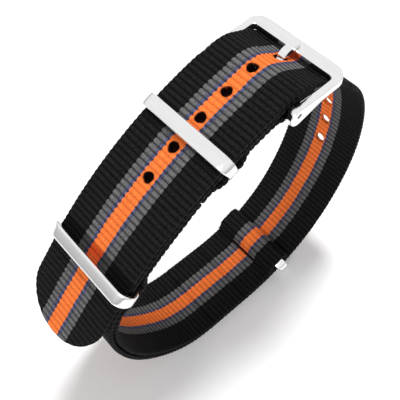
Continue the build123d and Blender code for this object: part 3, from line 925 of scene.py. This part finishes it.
def webbing_material(settings):
    material, tree, shader = new_material("Striped webbing")
    group = tree.nodes.new("ShaderNodeGroup")
    group.node_tree = bpy.data.node_groups.get("Ribbed weave") or weave_group()
    weave = group.outputs
    orange_border, navy_border, grey_border = STRIPE_BORDERS
    # Stripe borders bulge with each rib and wander a little
    jitter = product(tree, maths(tree, "SUBTRACT", weave["Fleck"], weave["Rib"]), STRIPE_WANDER)
    place = maths(tree, "ADD", weave["Across"], jitter)
    # Single navy and grey yarns are darker than their neighbours
    dark_yarn = product(tree, maths(tree, "LESS_THAN", weave["Fleck"], 0.2), 0.3)
    twist = product(tree, maths(tree, "GREATER_THAN", weave["Fuzz"], 0.56), 0.4)
    grey = mixed(tree, twist, tuple(settings.grey), tuple(settings.dark_grey))
    navy = mixed(tree, dark_yarn, tuple(settings.navy), tuple(settings.dark_grey))
    dark = mixed(tree, maths(tree, "GREATER_THAN", place, navy_border), navy, grey)
    dark = mixed(tree, maths(tree, "GREATER_THAN", place, grey_border), dark, tuple(settings.black))
    # Painted highlight and shade: ribs and yarns are painted lighter and the grooves between them darker,
    # most of all in the dark stripes, which also take the painted shadow
    yarns = product(tree, between(tree, weave["Yarn"], 0.93, 1.03), between(tree, weave["Fleck"], 0.93, 1.07))
    deep = product(
        tree, yarns, between(tree, weave["Rib"], 0.12, 1.27), between(tree, weave["Fuzz"], -0.2, 2.2),
        between(tree, weave["Painted shadow"], 1.0, 0.3),
    )
    shallow = product(
        tree, yarns, between(tree, weave["Rib"], 0.62, 1.12), between(tree, weave["Fuzz"], 0.6, 1.4)
    )
    # Painted shadow darkens the orange to dark red beside the outer bar and the keeper
    orange_in_shadow = product(tree, weave["Painted shadow"], 0.8)
    bright = mixed(tree, orange_in_shadow, tuple(settings.orange), tuple(settings.orange_in_shadow))
    colour = mixed(
        tree, maths(tree, "GREATER_THAN", place, orange_border),
        scaled(tree, bright, shallow), scaled(tree, dark, deep),
    )
    # Hole rims, partly burnt and partly painted shade, and painted shade beneath the holes and across the
    # flap's end
    burnt_and_shaded = maths(tree, "MULTIPLY", weave["Burn and shade"], 1.6, clamp=True)
    tree.links.new(mixed(tree, burnt_and_shaded, colour, tuple(settings.burnt_and_shaded)), shader.inputs["Base Color"])
    bump = tree.nodes.new("ShaderNodeBump")
    bump.inputs["Strength"].default_value = 0.35
    bump.inputs["Distance"].default_value = YARN_BUMP
    tree.links.new(weave["Height"], bump.inputs["Height"])
    tree.links.new(bump.outputs[0], shader.inputs["Normal"])
    tree.links.new(between(tree, weave["Fleck"], 0.6, 0.8), shader.inputs["Roughness"])
    shader.inputs["Sheen Weight"].default_value = 0.003
    shader.inputs["Sheen Roughness"].default_value = 0.4
    shader.inputs["Specular IOR Level"].default_value = 0.04
    return material


def fold_shade_group():
    """Shader group: how bright the steel stays, with painted shade on what lies inside the fold round the
    spring bar.
    """
    inputs = (("Bar x", 0.0), ("Bar z", 0.0), ("Reach", FOLD_SHADE_REACH))
    tree, inside, out = new_group("Painted shade in the fold", inputs, ("Bright",))
    x, y, z = split(tree, tree.nodes.new("ShaderNodeTexCoord").outputs["Object"])
    dx = maths(tree, "POWER", maths(tree, "SUBTRACT", x, inside.outputs["Bar x"]), 2.0)
    dz = maths(tree, "POWER", maths(tree, "SUBTRACT", z, inside.outputs["Bar z"]), 2.0)
    away = maths(tree, "SUBTRACT", maths(tree, "SQRT", maths(tree, "ADD", dx, dz)), inside.outputs["Reach"])
    outside = maths(tree, "GREATER_THAN", maths(tree, "ABSOLUTE", y), FOLD_SHADE_HALF_WIDTH)
    clear = maths(tree, "MAXIMUM", maths(tree, "MULTIPLY", away, 1 / FOLD_SHADE_FADE, clamp=True), outside)
    tree.links.new(between(tree, clear, 0.04, 1.0), out.inputs["Bright"])
    return tree


def shaded_in_fold(tree, colour):
    """Colour of the steel, with painted shade inside the fold."""
    group = tree.nodes.new("ShaderNodeGroup")
    group.node_tree = bpy.data.node_groups.get("Painted shade in the fold") or fold_shade_group()
    bar = StrapLines(1 * MM).bar
    group.inputs["Bar x"].default_value = float(bar[0])
    group.inputs["Bar z"].default_value = float(bar[1])
    return scaled(tree, colour, group.outputs["Bright"])


def polished_material(settings):
    material, tree, shader = new_material("Polished steel")
    rough = between(tree, grain(tree, 900, 3), settings.shine - 0.04, settings.shine + 0.04)
    tree.links.new(rough, shader.inputs["Roughness"])
    # Fine polishing lines along the strip
    streaks = between(tree, grain(tree, 1, 2, (3600, 160, 3600)), 0.91, 1.09)
    tint = scaled(tree, tuple(settings.polished), streaks)
    # Painted shade inside the fold round the spring bar
    tree.links.new(shaded_in_fold(tree, tint), shader.inputs["Base Color"])
    shader.inputs["Metallic"].default_value = 1
    return material


def brushed_material(settings):
    material, tree, shader = new_material("Brushed steel")
    lines = grain(tree, 1, 2, (9000, 250, 9000))
    tree.links.new(between(tree, lines, 0.24, 0.44), shader.inputs["Roughness"])
    tint = scaled(tree, tuple(settings.brushed), between(tree, lines, 0.9, 1.1))
    # Painted shade inside the fold round the spring bar
    tree.links.new(shaded_in_fold(tree, tint), shader.inputs["Base Color"])
    shader.inputs["Metallic"].default_value = 1
    return material


class WATCHSTRAP_OT_long_webbing(Operator):
    """Weave the long strap with its fold, holes and rounded tip"""

    bl_idname = "watchstrap.long_webbing"
    bl_label = "Long Webbing"

    def execute(self, context):
        cloth = context.scene.watch_strap_webbing
        lines = StrapLines(cloth.thickness)
        obj = weave_webbing(
            "Long_webbing", lines.long, cloth, holes=lines.holes, eye=lines.eye, tip_length=TIP_LENGTH,
            tail_from=lines.tail_from, bar=lines.bar, shade_spots=lines.shade_spots, painted_shadows=lines.painted_shadows,
        )
        wear(obj, webbing_material(cloth))
        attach(obj, "strap")
        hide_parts("main_strap")
        return {"FINISHED"}


class WATCHSTRAP_OT_short_webbing(Operator):
    """Weave the short strap with its two keeper pockets and its last fold"""

    bl_idname = "watchstrap.short_webbing"
    bl_label = "Short Webbing"

    def execute(self, context):
        cloth = context.scene.watch_strap_webbing
        lines = StrapLines(cloth.thickness)
        obj = weave_webbing("Short_webbing", lines.short, cloth, end_shade=END_SHADE_LENGTH)
        wear(obj, bpy.data.materials["Striped webbing"])
        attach(obj, "strap")
        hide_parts("short_strap")
        return {"FINISHED"}


class WATCHSTRAP_OT_steel(Operator):
    """Polish the buckle and its tongue, and brush the tube and plungers of the spring bar"""

    bl_idname = "watchstrap.steel"
    bl_label = "Steel Finishes"

    def execute(self, context):
        steel = context.scene.watch_strap_steel
        polished = polished_material(steel)
        brushed = brushed_material(steel)
        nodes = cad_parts
        for name in ("buckle_frame", "buckle_tongue"):
            wear(nodes[name], polished)
        for name in ("spring_bar_tube", "spring_bar_plunger_near", "spring_bar_plunger_far"):
            wear(nodes[name], brushed)
        return {"FINISHED"}


class WATCHSTRAP_OT_spring(Operator):
    """Halve the coil spring into a near and a far half"""

    bl_idname = "watchstrap.spring"
    bl_label = "Coil Spring"

    def execute(self, context):
        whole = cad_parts["spring_bar_spring"]
        for name, joint, near in (
            ("Spring_near_half", "near_plunger_press", True),
            ("Spring_far_half", "far_plunger_press", False),
        ):
            half = bpy.data.objects.new(name, whole.data.copy())
            context.scene.collection.objects.link(half)
            half.data.name = name
            activate(half)
            bpy.ops.object.mode_set(mode="EDIT")
            bpy.ops.mesh.select_all(action="SELECT")
            bpy.ops.mesh.remove_doubles(threshold=1e-6)
            bpy.ops.mesh.bisect(
                plane_co=(0, 0, 0), plane_no=(0, 1, 0), use_fill=True, clear_outer=near, clear_inner=not near
            )
            bpy.ops.object.mode_set(mode="OBJECT")
            wear(half, bpy.data.materials["Brushed steel"])
            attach(half, "buckle")
            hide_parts("spring_bar_spring")
            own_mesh(half)
        return {"FINISHED"}


class WATCHSTRAP_OT_keepers(Operator):
    """Bend the three keepers from flat strip"""

    bl_idname = "watchstrap.keepers"
    bl_label = "Keepers"

    def execute(self, context):
        sizes = context.scene.watch_strap_keeper
        cloth = context.scene.watch_strap_webbing
        for name, node, body, centre, turn, longer in StrapLines(cloth.thickness).keepers:
            obj = bend_keeper(name, centre, turn, sizes, longer)
            wear(obj, bpy.data.materials["Polished steel"])
            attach(obj, body)
            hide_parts(node)
        return {"FINISHED"}


def soft_lamp(name, place, size, power, mirrored):
    data = bpy.data.lights.new(name, "AREA")
    data.shape = "DISK"
    data.size = size
    data.energy = power
    lamp = bpy.data.objects.new(name, data)
    bpy.context.scene.collection.objects.link(lamp)
    lamp.location = place
    lamp.rotation_euler = (Vector(LAMP_AIM) - Vector(place)).to_track_quat("-Z", "Y").to_euler()
    lamp.visible_glossy = mirrored


def studio_world(daylight):
    """White where the camera looks, a white ceiling over dimmer walls in the steel, and even daylight."""
    world = bpy.data.worlds.new("Studio")
    world.use_nodes = True
    tree = world.node_tree
    background = tree.nodes["Background"]
    background.inputs["Color"].default_value = (1, 1, 1, 1)
    path = tree.nodes.new("ShaderNodeLightPath")
    upward = split(tree, tree.nodes.new("ShaderNodeTexCoord").outputs["Object"])[2]
    ceiling = maths(tree, "MULTIPLY_ADD", upward, CEILING_RISE, WALL_STRENGTH, clamp=True)
    mirrored = product(tree, path.outputs["Is Glossy Ray"], ceiling)
    seen = maths(tree, "MAXIMUM", path.outputs["Is Camera Ray"], mirrored)
    tree.links.new(maths(tree, "MAXIMUM", seen, daylight), background.inputs["Strength"])
    return world


def studio_camera(lens):
    """Camera at the photograph's viewing angle."""
    data = bpy.data.cameras.new("Camera")
    data.lens = lens
    data.sensor_width = SENSOR_WIDTH
    data.sensor_fit = "HORIZONTAL"
    data.clip_start = CLIP_START
    camera = bpy.data.objects.new("Camera", data)
    bpy.context.scene.collection.objects.link(camera)
    right = Vector(CAMERA_RIGHT).normalized()
    ahead = Vector(CAMERA_AHEAD).normalized()
    up = right.cross(ahead).normalized()
    turn = Matrix((right, up, -ahead)).transposed().to_4x4()
    camera.matrix_world = Matrix.Translation(CAMERA_PLACE) @ turn
    return camera


class WATCHSTRAP_OT_stage(Operator):
    """Set the pale floor, the soft lamps and the camera"""

    bl_idname = "watchstrap.stage"
    bl_label = "Stage"

    def execute(self, context):
        scene = context.scene
        settings = scene.watch_strap_stage
        bpy.ops.object.select_all(action="DESELECT")
        bpy.ops.mesh.primitive_plane_add(size=FLOOR_SIZE, location=(0, 0, 0))
        floor = bpy.context.object
        floor.name = "Floor"
        material, _, shader = new_material("Pale floor")
        shader.inputs["Base Color"].default_value = (*settings.floor, 1)
        shader.inputs["Roughness"].default_value = 0.9
        wear(floor, material)
        scene.world = studio_world(settings.daylight)
        for lamp in LAMPS:
            soft_lamp(*lamp)
        scene.camera = studio_camera(settings.lens)
        scene.view_settings.view_transform = "Standard"
        return {"FINISHED"}


class WATCHSTRAP_PT_panel(Panel):
    """Sidebar panel with the strap's pieces"""

    bl_idname = "WATCHSTRAP_PT_panel"
    bl_label = "Watch Strap"
    bl_space_type = "VIEW_3D"
    bl_region_type = "UI"
    bl_category = "Watch Strap"

    def draw(self, context):
        layout = self.layout
        for operator in OPERATORS:
            layout.operator(operator.bl_idname)
        for settings in (
            context.scene.watch_strap_webbing,
            context.scene.watch_strap_steel,
            context.scene.watch_strap_keeper,
            context.scene.watch_strap_stage,
        ):
            box = layout.box()
            for name in settings.__annotations__:
                box.prop(settings, name)


OPERATORS = (
    WATCHSTRAP_OT_long_webbing,
    WATCHSTRAP_OT_short_webbing,
    WATCHSTRAP_OT_steel,
    WATCHSTRAP_OT_spring,
    WATCHSTRAP_OT_keepers,
    WATCHSTRAP_OT_stage,
)
SETTINGS = (WatchStrapWebbing, WatchStrapSteel, WatchStrapKeeper, WatchStrapStage)


def register():
    for cls in SETTINGS + OPERATORS + (WATCHSTRAP_PT_panel,):
        bpy.utils.register_class(cls)
    bpy.types.Scene.watch_strap_webbing = PointerProperty(type=WatchStrapWebbing)
    bpy.types.Scene.watch_strap_steel = PointerProperty(type=WatchStrapSteel)
    bpy.types.Scene.watch_strap_keeper = PointerProperty(type=WatchStrapKeeper)
    bpy.types.Scene.watch_strap_stage = PointerProperty(type=WatchStrapStage)


def unregister():
    del bpy.types.Scene.watch_strap_stage
    del bpy.types.Scene.watch_strap_keeper
    del bpy.types.Scene.watch_strap_steel
    del bpy.types.Scene.watch_strap_webbing
    for cls in reversed(SETTINGS + OPERATORS + (WATCHSTRAP_PT_panel,)):
        bpy.utils.unregister_class(cls)


def main():
    register()
    bpy.ops.watchstrap.long_webbing()
    bpy.ops.watchstrap.short_webbing()
    bpy.ops.watchstrap.steel()
    bpy.ops.watchstrap.spring()
    bpy.ops.watchstrap.keepers()
    bpy.ops.watchstrap.stage()


if __name__ == "__main__":
    main()
